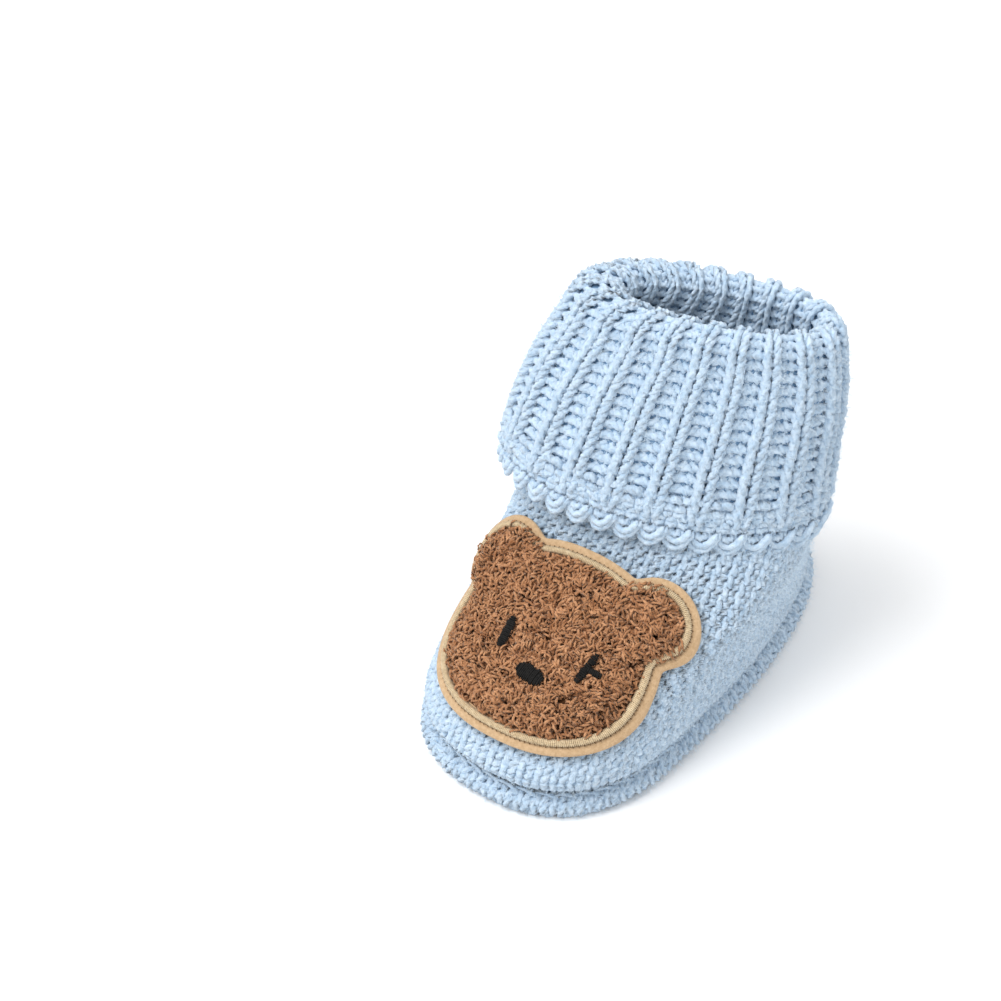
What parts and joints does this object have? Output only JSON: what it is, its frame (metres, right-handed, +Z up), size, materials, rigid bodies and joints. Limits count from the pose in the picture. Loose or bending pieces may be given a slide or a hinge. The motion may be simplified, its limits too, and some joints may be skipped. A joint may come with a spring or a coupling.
{
  "type": "knitted baby bootie",
  "caption": "Soft pale-blue knitted baby bootie with a turned-down ribbed cuff, scalloped hem, stitched-on sole and a brown boucle bear face on the vamp.",
  "frame": {"origin": "middle of the footprint at the ground, under the sole", "axes": "+Z up, -Y towards the toe, +Y towards the heel, +X towards the outer side of the foot"},
  "size_m": [0.0698, 0.108, 0.0868],
  "materials": {
    "blue_yarn": "soft fuzzy two-ply acrylic knitting yarn",
    "tan_felt": "flat tan felt",
    "gold_thread": "satin-stitched embroidery thread",
    "brown_boucle": "curly boucle pile",
    "black_thread": "embroidered black thread"
  },
  "bodies": {
    "root": {"sole_knit": "blue_yarn", "sole_seam_yarn": "blue_yarn", "foot_upper_knit": "blue_yarn", "heel_seam_yarn": "blue_yarn", "leg_and_cuff_rib": "blue_yarn", "cuff_hem_scallops": "blue_yarn", "patch_felt_backing": "tan_felt", "patch_satin_border": "gold_thread", "patch_boucle_pile": "brown_boucle", "face_eye_open": "black_thread", "face_eye_wink_long": "black_thread", "face_eye_wink_short": "black_thread", "face_nose": "black_thread"}
  },
  "joints": []
}
